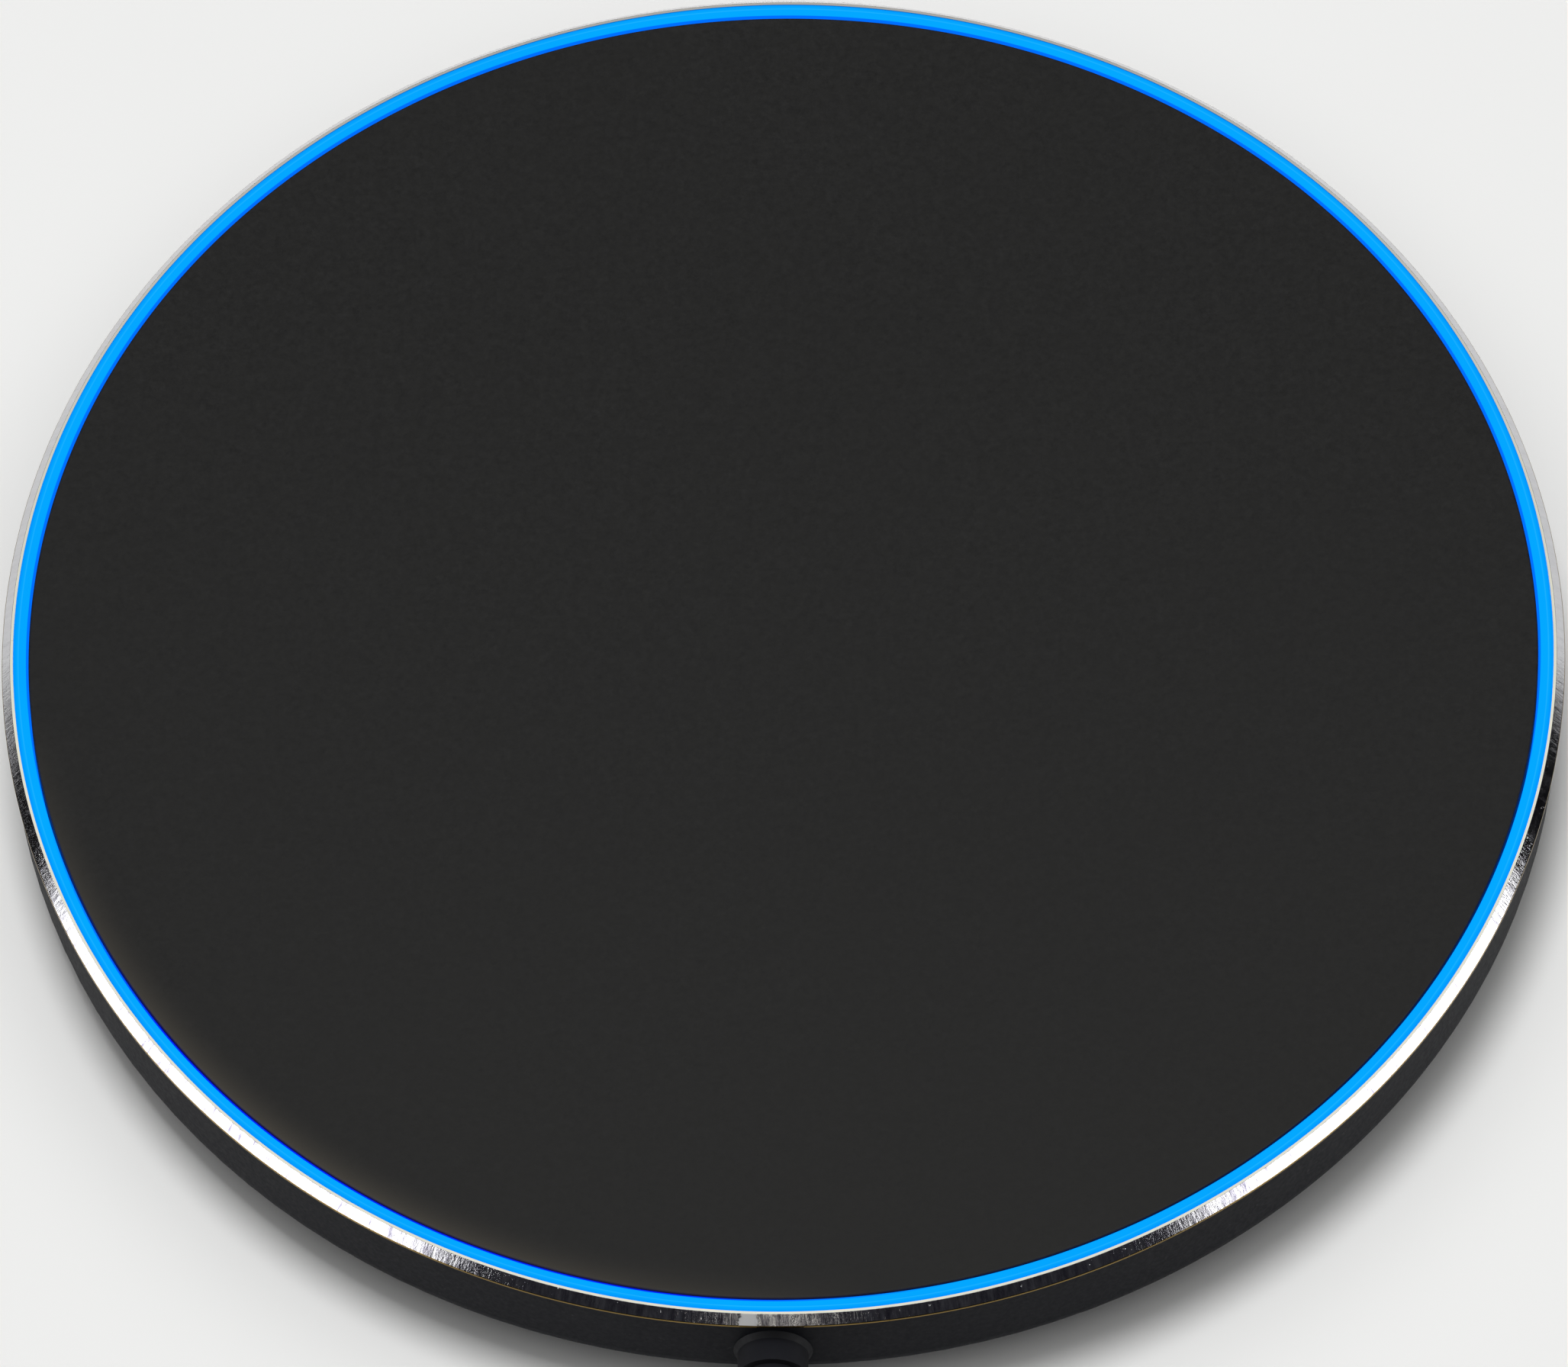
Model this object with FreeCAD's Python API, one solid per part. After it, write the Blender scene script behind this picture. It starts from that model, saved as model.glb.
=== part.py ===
"""Round Bluetooth audio receiver: a thin puck whose whole top face is one press button.

A polished trim band and a blue light ring surround the button. A moulded lead leaves the front of the
lower housing and ends in a 3.5 mm stereo plug. A USB-C socket for power opens through the rear wall.
Millimetres, +Z up, origin on the floor under the centre of the puck. The lead leaves towards -Y.
"""

import FreeCAD
import Part
import math
import os

Vector = FreeCAD.Vector
UP = Vector(0, 0, 1)

# Driving dimensions
BODY_DIAMETER = 80.0  # over the trim band
BODY_HEIGHT = 8.0  # floor to the top of the light ring
BUTTON_TRAVEL = 0.25
LIGHT_WIDTH = 0.7  # of the light ring, as seen from above
WALL = 1.4  # side wall of the lower housing
LEAD_DIAMETER = 2.6
BOARD_THICKNESS = 1.0
FIT = 0.02  # gap between parts that are pushed or dropped together
SLACK = 0.10  # gap between the button and the light ring

# Radii of the top face, outside in
BAND_R = BODY_DIAMETER / 2
LIP_R = BAND_R - 0.58  # inner edge of the band
RING_R = LIP_R - FIT
RING_INNER_R = LIP_R - LIGHT_WIDTH
BUTTON_R = RING_INNER_R - SLACK
WALL_R = BAND_R - 0.3
WALL_INNER_R = WALL_R - WALL

# Heights
BASE_Z = 0.8  # underside of the lower housing
FLOOR_Z = 2.0  # its inside floor
BOARD_Z = 3.2
BOARD_TOP = BOARD_Z + BOARD_THICKNESS
FLANGE_Z = 5.75  # ledge that the light guide's flange sits on
CARRIER_Z = 6.0
BUTTON_Z = 6.8
BAND_Z = 7.38  # lower edge of the trim band
SKIRT_Z = 6.9  # rebate that the band's skirt drops into
EXIT_Z = 4.6  # axis of the lead and of the socket

# Button guides and switch
GUIDE_R = 24.0
GUIDE_ANGLES = (60, 180, 300)
POST_R = 1.1
POST_BORE_R = POST_R + 0.05
POST_END_Z = 2.2
SPRING_R = 1.95
SPRING_WIRE_R = 0.16
SPRING_TURNS = 3
DOME_Z = BOARD_TOP + 0.22  # underside of the switch's snap dome, which rises by the button's travel
DOME_SKIN = 0.08
PLUNGER_TOP = 5.6

# Board and what stands on it
BOARD_R = 36.6
BOARD_SCREW_R = 33.0
BOARD_SCREW_ANGLES = (50, 130, 230, 310)
LED_R = 36.0
LED_COUNT = 12
BATTERY = (8.0, -17.0, 30.0, 17.0)  # x and y of its corners

# Socket
SOCKET_WIDTH = 8.94
SOCKET_HEIGHT = 3.26
SOCKET_Y = (31.6, 38.8)

# Lead, in its own order from the boot to the plug
BOOT_R = 1.8
BOOT_END_Y = -49.5
LEAD_R = LEAD_DIAMETER / 2
TIE_THICKNESS = 0.3
COIL_TURNS_ACROSS = 5
COIL_INNER_R = 9.3  # centreline of the innermost turn
COIL_OUTER_R = COIL_INNER_R + (COIL_TURNS_ACROSS - 1) * LEAD_DIAMETER
COIL_Y = -80.0
COIL_SIDE_X = 0.9  # where the lead runs along the coil's side
COIL_CENTRE = Vector(COIL_SIDE_X + COIL_OUTER_R, COIL_Y, 0)
COIL_LOW_Z = TIE_THICKNESS + LEAD_R  # centreline of the lower layer
COIL_HIGH_Z = COIL_LOW_Z + LEAD_DIAMETER
PLUG_START = Vector(-20.6, -110.0, 3.0)
PLUG_DIRECTION = Vector(-1, 0, 0)

# Plug, lengths from its cable end
PLUG_RELIEF = 7.0
PLUG_GRIP = 16.0
PLUG_COLLAR = 0.6
PIN_R = 1.75
PIN_STEPS = {"plug_sleeve": 7.4, "plug_band_rear": 0.6, "plug_ring": 2.4, "plug_band_front": 0.6}
TIP_LENGTH = 3.0


# ---------------------------------------------------------------- shape helpers


def outline(corners, place):
    """A closed wire through (u, v) or (u, v, radius) corners, each rounded by its radius."""
    points = [place(corner[0], corner[1]) for corner in corners]
    stretches = []
    for i, corner in enumerate(corners):
        here = points[i]
        radius = corner[2] if len(corner) > 2 else 0
        if not radius:
            stretches.append((here, None, here))
            continue
        back = (points[i - 1] - here).normalize()
        ahead = (points[(i + 1) % len(points)] - here).normalize()
        half = back.getAngle(ahead) / 2
        reach = radius / math.tan(half)
        bisector = (back + ahead).normalize()
        middle = here + bisector * (radius / math.sin(half) - radius)
        stretches.append((here + back * reach, middle, here + ahead * reach))
    edges = []
    for i, (start, middle, end) in enumerate(stretches):
        if middle:
            edges.append(Part.Arc(start, middle, end).toShape())
        following = stretches[(i + 1) % len(stretches)][0]
        if end.distanceToPoint(following) > 1e-6:
            edges.append(Part.LineSegment(end, following).toShape())
    return Part.Wire(edges)


def turned(corners):
    """A solid of revolution about Z from an outline of (radius, height) corners."""
    wire = outline(corners, lambda r, z: Vector(r, 0, z))
    return Part.Face(wire).revolve(Vector(), UP, 360)


def ring(inner, outer, low, high, rounding=0):
    """A flat ring about Z."""
    corners = [(inner, low), (outer, low), (outer, high), (inner, high)]
    return turned([corner + (rounding,) for corner in corners])


def rod(x, y, low, high, radius):
    """An upright cylinder."""
    return Part.makeCylinder(radius, high - low, Vector(x, y, low))


def rod_between(start, end, radius):
    """A cylinder from one point to another."""
    return Part.makeCylinder(radius, (end - start).Length, start, end - start)


def block(x0, y0, z0, x1, y1, z1):
    """A box between two corners."""
    return Part.makeBox(x1 - x0, y1 - y0, z1 - z0, Vector(x0, y0, z0))


def centred_block(x, y, low, width, depth, height):
    """A box standing at a height, centred on a point in plan."""
    return block(x - width / 2, y - depth / 2, low, x + width / 2, y + depth / 2, low + height)


def polar(radius, degrees):
    """The x and y of a point on a circle about the origin."""
    angle = math.radians(degrees)
    return radius * math.cos(angle), radius * math.sin(angle)


def fused(shapes):
    """Several touching or overlapping solids as one."""
    whole = shapes[0].multiFuse(shapes[1:])
    return whole.removeSplitter()


def laid(shape, start, direction):
    """A shape built up along +Z, turned to run along a direction from a point."""
    return shape.transformed(FreeCAD.Placement(start, FreeCAD.Rotation(UP, direction)).toMatrix())


def spread_round(shape, angles):
    """Copies of a shape turned about Z, as separate solids of one group."""
    return Part.makeCompound([shape.rotated(Vector(), UP, angle) for angle in angles])


def cross_slot(reach, half_width, low, high):
    """The cut that a cross-head driver fits, about the Z axis."""
    arm = block(-reach, -half_width, low, reach, half_width, high)
    return arm.fuse(arm.rotated(Vector(), UP, 90))


def stadium(width, height, y0, y1):
    """A slot-shaped bar along Y at the socket's height, with round ends."""
    rounding = height / 2 - 0.01
    half = width / 2
    low, high = EXIT_Z - height / 2, EXIT_Z + height / 2
    corners = [(-half, low), (half, low), (half, high), (-half, high)]
    face = Part.Face(outline([corner + (rounding,) for corner in corners], lambda x, z: Vector(x, y0, z)))
    return face.extrude(Vector(0, y1 - y0, 0))


# ---------------------------------------------------------------- casing


def lower_housing():
    """A shallow cup: a straight wall above a bevelled underside, with bosses for the board and button."""
    foot_inner, foot_outer = 20.0, 33.0
    foot_depth = 0.4
    cup = turned(
        [
            (0, BASE_Z),
            (foot_inner, BASE_Z),
            (foot_inner, BASE_Z + foot_depth),
            (foot_outer, BASE_Z + foot_depth),
            (foot_outer, BASE_Z),
            (34.5, BASE_Z, 0.6),
            (WALL_R, 2.55, 1.2),
            (WALL_R, BAND_Z),
            (LIP_R + FIT, BAND_Z),
            (LIP_R + FIT, SKIRT_Z),
            (LIP_R - 0.3, SKIRT_Z),
            (LIP_R - 0.3, FLANGE_Z),
            (WALL_INNER_R, FLANGE_Z),
            (WALL_INNER_R, 3.5, 0.4),
            (34.0, FLOOR_Z, 0.4),
            (0, FLOOR_Z),
        ]
    )
    bosses = [rod(*polar(BOARD_SCREW_R, angle), FLOOR_Z - 0.4, BOARD_Z, 2.1) for angle in BOARD_SCREW_ANGLES]
    bosses += [rod(*polar(GUIDE_R, angle), FLOOR_Z - 0.4, BOARD_Z - 0.1, 2.6) for angle in GUIDE_ANGLES]
    boot_ribs = [block(side - 1.05, -36.5, 2.4, side + 1.05, -35.7, 5.4) for side in (-2.55, 2.55)]
    housing = fused([cup] + bosses + boot_ribs)
    cuts = [rod(*polar(BOARD_SCREW_R, angle), FLOOR_Z - 0.3, BOARD_Z + 1, 0.75) for angle in BOARD_SCREW_ANGLES]
    for angle in GUIDE_ANGLES:
        x, y = polar(GUIDE_R, angle)
        cuts.append(rod(x, y, 0, POST_END_Z + FIT, 1.9))
        cuts.append(rod(x, y, POST_END_Z - 0.5, BOARD_Z, POST_BORE_R))
    cuts.append(rod_between(Vector(0, -36, EXIT_Z), Vector(0, -42, EXIT_Z), BOOT_R + 0.05))
    cuts.append(stadium(SOCKET_WIDTH + 0.36, SOCKET_HEIGHT + 0.36, 36, 42))
    return housing.cut(Part.makeCompound(cuts))


def foot_ring():
    """A soft ring, proud of the underside, that covers the button's screws."""
    return ring(20.1, 32.9, 0, BASE_Z + 0.4, 0.25)


def trim_band():
    """A polished ring with a thin flat lip, a steep bevel and a skirt that drops into the housing."""
    skirt_r = LIP_R - 0.32
    return turned(
        [
            (skirt_r, SKIRT_Z + FIT),
            (LIP_R, SKIRT_Z + FIT),
            (LIP_R, BAND_Z),
            (BAND_R, BAND_Z),
            (BAND_R, BODY_HEIGHT - 0.52, 0.04),
            (LIP_R + 0.14, BODY_HEIGHT, 0.03),
            (LIP_R, BODY_HEIGHT),
            (LIP_R, BAND_Z + 0.22),
            (skirt_r, BAND_Z + 0.22),
        ]
    )


def light_guide():
    """A translucent ring: its head shows round the button, and its flange lies over the lamps."""
    stem_r = LIP_R - 0.34
    flange_top = FLANGE_Z + 0.55
    guide = turned(
        [
            (35.2, FLANGE_Z + FIT),
            (stem_r, FLANGE_Z + FIT),
            (stem_r, BAND_Z + 0.24),
            (RING_R, BAND_Z + 0.24),
            (RING_R, BODY_HEIGHT, 0.05),
            (RING_INNER_R, BODY_HEIGHT, 0.08),
            (RING_INNER_R, flange_top),
            (35.2, flange_top),
        ]
    )
    boot_gap = block(-3.9, -40, 5, 3.9, -30, EXIT_Z + BOOT_R + 0.15)
    socket_gap = block(-5.9, 30, 5, 5.9, 40, EXIT_Z + SOCKET_HEIGHT / 2 + 0.2)
    return guide.cut(Part.makeCompound([boot_gap, socket_gap]))


# ---------------------------------------------------------------- button


def button_disc():
    """The top face: one flat disc with a softened edge, level with the light ring."""
    top = BODY_HEIGHT - 0.04
    return turned([(0, BUTTON_Z), (BUTTON_R, BUTTON_Z, 0.1), (BUTTON_R, top, 0.3), (0, top)])


def disc_adhesive():
    """A film that holds the disc to its carrier."""
    return ring(27.8, 30.5, BUTTON_Z - 0.1, BUTTON_Z)


def button_carrier():
    """A spider under the disc: rim, three arms, the hub that presses the switch, and the guide posts."""
    top = BUTTON_Z - 0.1
    parts = [
        ring(27.5, 30.8, CARRIER_Z, top),
        rod(0, 0, CARRIER_Z, top, 6.0),
        rod(0, 0, PLUNGER_TOP, CARRIER_Z, 2.0),
    ]
    for angle in GUIDE_ANGLES:
        arm = block(0, -3, CARRIER_Z, 29, 3, top)
        parts.append(arm.rotated(Vector(), UP, angle))
        parts.append(rod(*polar(GUIDE_R, angle), POST_END_Z, CARRIER_Z, POST_R))
    carrier = fused(parts)
    pilots = [rod(*polar(GUIDE_R, angle), POST_END_Z - 1, 5.2, 0.45) for angle in GUIDE_ANGLES]
    return carrier.cut(Part.makeCompound(pilots))


def retaining_screws():
    """Three screws up into the posts, whose heads stop the button at the top of its travel."""
    head_low = POST_END_Z - 0.55
    head_r, shank_r, shank_top = 1.6, 0.42, 5.0
    body = turned(
        [
            (0, head_low),
            (head_r, head_low, 0.1),
            (head_r, POST_END_Z),
            (shank_r, POST_END_Z),
            (shank_r, shank_top),
            (0, shank_top),
        ]
    )
    screw = body.cut(cross_slot(0.9, 0.12, head_low - 1, head_low + 0.2))
    return spread_round(screw.translated(Vector(GUIDE_R, 0, 0)), GUIDE_ANGLES)


def return_springs():
    """A compression spring round each post, between the board and the carrier."""
    low = BOARD_TOP + SPRING_WIRE_R + FIT
    height = CARRIER_Z - SPRING_WIRE_R - FIT - low
    arc_count = 4 * SPRING_TURNS

    def on_helix(step):
        x, y = polar(SPRING_R, 90 * step)
        return Vector(x, y, low + height * step / arc_count)

    arcs = [Part.Arc(on_helix(i), on_helix(i + 0.5), on_helix(i + 1)).toShape() for i in range(arc_count)]
    pitch_direction = Vector(0, 2 * math.pi * SPRING_R, height / SPRING_TURNS)
    section = Part.Wire(Part.makeCircle(SPRING_WIRE_R, on_helix(0), pitch_direction))
    coil = Part.Wire(arcs).makePipeShell([section], True, False)
    return spread_round(coil.translated(Vector(GUIDE_R, 0, 0)), GUIDE_ANGLES)


# ---------------------------------------------------------------- switch under the hub


def switch_base():
    """The moulded base of the tactile switch, with its round well."""
    body = centred_block(0, 0, BOARD_TOP, 5.2, 5.2, 0.9)
    return body.cut(rod(0, 0, BOARD_TOP + 0.2, BOARD_TOP + 2, 1.9))


def switch_dome():
    """The snap dome that gives the click: a thin domed disc in the well."""
    low, half = DOME_Z, 1.75
    rise, skin = BUTTON_TRAVEL, DOME_SKIN

    def arc(height, reach, base):
        return Part.Arc(Vector(-reach, 0, base), Vector(0, 0, height), Vector(reach, 0, base)).toShape()

    top = arc(low + rise + skin, half, low + skin)
    bottom = arc(low + rise, half, low)
    sides = [Part.LineSegment(Vector(x, 0, low), Vector(x, 0, low + skin)).toShape() for x in (-half, half)]
    section = Part.Face(Part.Wire(Part.__sortEdges__([top, bottom] + sides)))
    right_half = section.common(block(0, -1, low, half, 1, low + 1))
    return right_half.revolve(Vector(), UP, 360)


def switch_cover():
    """The pressed steel cover that keeps the plunger in the well."""
    low = BOARD_TOP + 0.9
    cover = centred_block(0, 0, low, 5.0, 5.0, 0.15)
    return cover.cut(rod(0, 0, low - 1, low + 1, 1.06))


def switch_plunger():
    """The small stem between the dome and the carrier's hub."""
    low, collar = DOME_Z + BUTTON_TRAVEL + DOME_SKIN + FIT, BOARD_TOP + 0.88
    stem_r, collar_r = 1.0, 1.5
    return turned(
        [
            (0, low),
            (collar_r, low, 0.05),
            (collar_r, collar),
            (stem_r, collar),
            (stem_r, PLUNGER_TOP),
            (0, PLUNGER_TOP),
        ]
    )


# ---------------------------------------------------------------- board


def circuit_board():
    """The round board, with gaps for the socket, the lead and the battery, and holes for posts and screws."""
    board = rod(0, 0, BOARD_Z, BOARD_TOP, BOARD_R)
    x0, y0, x1, y1 = BATTERY
    cuts = [block(x0 - 0.6, y0 - 0.6, 0, x1 + 0.6, y1 + 0.6, 9)]
    cuts.append(block(-4.2, -40, 0, 4.2, -31.5, 9))
    cuts.append(block(-4.7, 31.2, 0, 4.7, 40, 9))
    cuts += [rod(*polar(GUIDE_R, angle), 0, 9, 1.45) for angle in GUIDE_ANGLES]
    cuts += [rod(*polar(BOARD_SCREW_R, angle), 0, 9, 1.1) for angle in BOARD_SCREW_ANGLES]
    return board.cut(Part.makeCompound(cuts))


def board_screws():
    """Four pan-head screws that hold the board down on its bosses."""
    head_top = BOARD_TOP + 0.9
    body = turned(
        [
            (0, FLOOR_Z - 0.2),
            (0.72, FLOOR_Z - 0.2),
            (0.72, BOARD_TOP),
            (1.8, BOARD_TOP),
            (1.8, head_top, 0.4),
            (0, head_top),
        ]
    )
    screw = body.cut(cross_slot(1.0, 0.15, head_top - 0.4, head_top + 1))
    return spread_round(screw.translated(Vector(BOARD_SCREW_R, 0, 0)), BOARD_SCREW_ANGLES)


def ring_lamps():
    """Twelve blue lamps round the rim of the board, under the light guide."""
    lamp = centred_block(LED_R, 0, BOARD_TOP, 0.8, 1.6, 0.6)
    step = 360 / LED_COUNT
    return spread_round(lamp, [step * (i + 0.5) for i in range(LED_COUNT)])


def radio_board():
    """The radio module's own small board."""
    return centred_block(-20, 15, BOARD_TOP, 14, 14, 0.4)


def radio_shield():
    """The steel can over the radio, open underneath."""
    low = BOARD_TOP + 0.4
    can = centred_block(-18.4, 15, low, 9.8, 11.5, 0.9)
    inside = centred_block(-18.4, 15, low - 1, 9.5, 11.2, 1.75)
    return can.cut(inside)


def radio_chip():
    """The radio chip under the can."""
    return centred_block(-18.4, 15, BOARD_TOP + 0.4, 5, 5, 0.6)


def chip_antenna():
    """The ceramic antenna at the module's outer end."""
    return centred_block(-25.3, 15, BOARD_TOP + 0.4, 1.6, 6.0, 0.7)


def audio_codec():
    """The converter and headphone driver."""
    return centred_block(-14, -12, BOARD_TOP, 6, 6, 0.85)


def power_chip():
    """The charger and regulator, near the socket."""
    return centred_block(-3, 23.5, BOARD_TOP, 4, 4, 0.85)


def crystal():
    """The clock crystal in its metal lid."""
    return centred_block(-8, -6.5, BOARD_TOP, 3.2, 2.5, 0.7)


def power_inductor():
    """A drum inductor beside the regulator."""
    drum = turned([(0, 0), (2.0, 0, 0.2), (2.0, 1.2, 0.2), (0, 1.2)])
    return drum.translated(Vector(3.2, 23.5, BOARD_TOP))


def output_capacitors():
    """Two tantalum capacitors in the audio outputs."""
    return Part.makeCompound([centred_block(x, -23, BOARD_TOP, 2.8, 3.5, 1.2) for x in (-3, 3)])


def ceramic_capacitors():
    """Small decoupling capacitors in short rows beside the chips."""
    rows = [(-19.5, -12, 0), (-14, -17, 90), (-8.5, 23.5, 0), (-6, 8, 90)]
    parts = []
    for x, y, angle in rows:
        for step in (-2.2, 0, 2.2):
            shift = (0, step) if angle == 0 else (step, 0)
            size = (1.6, 0.8) if angle == 0 else (0.8, 1.6)
            parts.append(centred_block(x + shift[0], y + shift[1], BOARD_TOP, *size, 0.8))
    return Part.makeCompound(parts)


def small_resistors():
    """Small resistors in a row between the codec and the output capacitors."""
    return Part.makeCompound([centred_block(-22 + 2.0 * i, -21, BOARD_TOP, 0.8, 1.6, 0.45) for i in range(7)])


# ---------------------------------------------------------------- power


def socket_shell():
    """The drawn steel shell of the USB-C socket, with its solder tabs."""
    y0, y1 = SOCKET_Y
    skin = 0.25
    tube = stadium(SOCKET_WIDTH, SOCKET_HEIGHT, y0, y1)
    bore = stadium(SOCKET_WIDTH - 2 * skin, SOCKET_HEIGHT - 2 * skin, y0 - 1, y1 + 1)
    tab_end = SOCKET_WIDTH / 2 + 1.2
    tabs = block(-tab_end, y0 + 0.8, BOARD_TOP, tab_end, y0 + 2.2, BOARD_TOP + skin)
    return fused([tube, tabs]).cut(bore)


def socket_insulator():
    """The moulded core: a block across the back and the tongue that the plug slides over."""
    y0, y1 = SOCKET_Y
    core = stadium(SOCKET_WIDTH - 0.54, SOCKET_HEIGHT - 0.54, y0, y0 + 1.6)
    tongue = block(-3.35, y0 + 1.0, EXIT_Z - 0.35, 3.35, y1 - 0.9, EXIT_Z + 0.35)
    return fused([core, tongue])


def socket_contacts():
    """Twelve gold strips on each face of the tongue."""
    y0, y1 = SOCKET_Y
    strips = []
    for low in (EXIT_Z + 0.35, EXIT_Z - 0.39):
        for i in range(12):
            x = (i - 5.5) * 0.5
            strips.append(block(x - 0.13, y0 + 1.7, low, x + 0.13, y1 - 1.3, low + 0.04))
    return Part.makeCompound(strips)


def battery_foam():
    """The sticky pad under the cell."""
    x0, y0, x1, y1 = BATTERY
    return block(x0 + 1, y0 + 1, FLOOR_Z, x1 - 1, y1 - 1, FLOOR_Z + 0.3)


def battery_cell():
    """A flat pouch cell with softened edges."""
    x0, y0, x1, y1 = BATTERY
    pouch = block(x0, y0, FLOOR_Z + 0.3, x1, y1, FLOOR_Z + 3.3)
    return pouch.makeFillet(0.6, pouch.Edges)


def battery_plug():
    """The two-way connector that the cell's wires end in."""
    return centred_block(17.5, -21.1, BOARD_TOP, 4.0, 3.0, 1.3)


def battery_wires():
    """Two short wires from the cell to its connector."""
    low = BOARD_TOP + 0.5
    _, y0, _, _ = BATTERY
    wires = [rod_between(Vector(x, y0, low), Vector(x, -19.6, low), 0.4) for x in (16.6, 18.4)]
    return Part.makeCompound(wires)


# ---------------------------------------------------------------- lead


def lead_boot():
    """The moulded strain relief: a flange behind the wall, a collar outside it and a ribbed taper."""
    wall_y = -WALL_R
    flange = block(-3.2, -37.8, 3.6, 3.2, -36.7, EXIT_Z + BOOT_R - 0.1)
    neck = rod_between(Vector(0, -37.6, EXIT_Z), Vector(0, wall_y - 0.2, EXIT_Z), BOOT_R)
    length = wall_y - BOOT_END_Y
    corners = [(0, 0), (BOOT_R + 0.2, 0), (BOOT_R, 0.3)]
    end_r = LEAD_R + 0.2
    rib, gap, depth = 1.0, 0.7, 0.4
    count = int((length - 1.5) / (rib + gap))
    for i in range(count):
        start = 1.5 + i * (rib + gap)
        outer = BOOT_R + (end_r - BOOT_R) * start / length
        corners += [(outer, start), (outer - depth, start), (outer - depth, start + gap), (outer, start + gap)]
    corners += [(end_r, length, 0.15), (0, length)]
    taper = laid(turned(corners), Vector(0, wall_y, EXIT_Z), Vector(0, -1, 0))
    return fused([flange, neck, taper])


def lead_inner_end():
    """The stripped end of the lead inside the housing, up to its three soldered wires."""
    return rod_between(Vector(0, -36.7, EXIT_Z), Vector(0, -33.2, EXIT_Z), LEAD_R)


def lead_wires():
    """Left, right and ground, from the jacket's end down to their solder joints on the board."""
    wires = []
    for side in (-1, 0, 1):
        start = Vector(0.75 * side, -33.2, EXIT_Z)
        end = Vector(2.2 * side, -28.5, BOARD_TOP + 0.4)
        joint = turned([(0, 0), (0.8, 0), (0.6, 0.35), (0, 0.6)]).translated(Vector(end.x, end.y, BOARD_TOP))
        wires.append(fused([rod_between(start, end, 0.33), joint]))
    return Part.makeCompound(wires)


def tube(points, radius):
    """A round tube along straight runs joined by tangent arcs as large as the runs allow."""
    edges = []
    start = points[0]
    bends = []
    for before, here, after in zip(points, points[1:], points[2:]):
        back, ahead = before - here, after - here
        shorter = min(back.Length, ahead.Length)
        turn = math.pi - back.getAngle(ahead)
        bend = 0.45 * shorter / math.tan(turn / 2)
        reach = 0.45 * shorter
        back, ahead = back.normalize(), ahead.normalize()
        half = back.getAngle(ahead) / 2
        middle = here + (back + ahead).normalize() * (bend / math.sin(half) - bend)
        edges.append(Part.LineSegment(start, here + back * reach).toShape())
        edges.append(Part.Arc(here + back * reach, middle, here + ahead * reach).toShape())
        start = here + ahead * reach
        bends.append(round(bend, 1))
    edges.append(Part.LineSegment(start, points[-1]).toShape())
    path = Part.Wire(edges)
    section = Part.Wire(Part.makeCircle(radius, points[0], points[1] - points[0]))
    swept = path.makePipeShell([section], True, False)
    expected = math.pi * radius**2 * path.Length
    print(f"tube {path.Length:.1f} mm, bends {bends}, volume off by {swept.Volume / expected - 1:.4f}")
    return swept


def clear_of_coil():
    """How far along its tangent a straight lead runs before it is clear of the coil's outer surface."""
    return math.sqrt((COIL_OUTER_R + LEAD_R) ** 2 - (COIL_OUTER_R - LEAD_R) ** 2) + 0.1


def lead_run():
    """From the boot, down to the floor and along it to the coil."""
    end_y = COIL_Y + clear_of_coil()
    return tube(
        [
            Vector(0, BOOT_END_Y, EXIT_Z),
            Vector(0, BOOT_END_Y - 5.5, EXIT_Z),
            Vector(COIL_SIDE_X, end_y + 5.5, COIL_LOW_Z),
            Vector(COIL_SIDE_X, end_y, COIL_LOW_Z),
        ],
        LEAD_R,
    )


def lead_coil():
    """The outer shape of the wound lead, with the two tangent ends that run into it."""
    across = (COIL_TURNS_ACROSS - 1) / 2 * LEAD_DIAMETER + LEAD_R
    middle_r = (COIL_INNER_R + COIL_OUTER_R) / 2
    low, high = COIL_LOW_Z - LEAD_R, COIL_HIGH_Z + LEAD_R
    bundle = ring(middle_r - across, middle_r + across, low, high, LEAD_R - 0.01).translated(COIL_CENTRE)
    reach = clear_of_coil()
    x, y = COIL_SIDE_X, COIL_Y
    way_in = rod_between(Vector(x, y + reach, COIL_LOW_Z), Vector(x, y, COIL_LOW_Z), LEAD_R)
    way_out = rod_between(Vector(x, y - reach, COIL_HIGH_Z), Vector(x, y, COIL_HIGH_Z), LEAD_R)
    return fused([bundle, way_in, way_out])


def coil_tie():
    """A thin strap round the bundle of turns."""
    inner_r, outer_r = COIL_INNER_R - LEAD_R - 0.25, COIL_OUTER_R + LEAD_R + 0.05
    low, high = TIE_THICKNESS, COIL_HIGH_Z + LEAD_R
    strap = 3.0

    def bar(grow, rounding):
        corners = [
            (inner_r - grow, low - grow, rounding),
            (outer_r + grow, low - grow, rounding),
            (outer_r + grow, high + grow, rounding),
            (inner_r - grow, high + grow, rounding),
        ]
        return Part.Face(outline(corners, lambda r, z: Vector(r, -strap / 2, z))).extrude(Vector(0, strap, 0))

    tie = bar(TIE_THICKNESS, 1.2).cut(bar(0, 0.9))
    return tie.rotated(Vector(), UP, -40).translated(COIL_CENTRE)


def lead_tail():
    """From the coil's upper layer down and round to the plug."""
    start_y = COIL_Y - clear_of_coil()
    return tube(
        [
            Vector(COIL_SIDE_X, start_y, COIL_HIGH_Z),
            Vector(COIL_SIDE_X, start_y - 8.4, COIL_HIGH_Z),
            Vector(-3.5, -106.0, 3.6),
            Vector(-11.5, PLUG_START.y, PLUG_START.z),
            PLUG_START,
        ],
        LEAD_R,
    )


# ---------------------------------------------------------------- plug, built along +Z and then laid down


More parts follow.
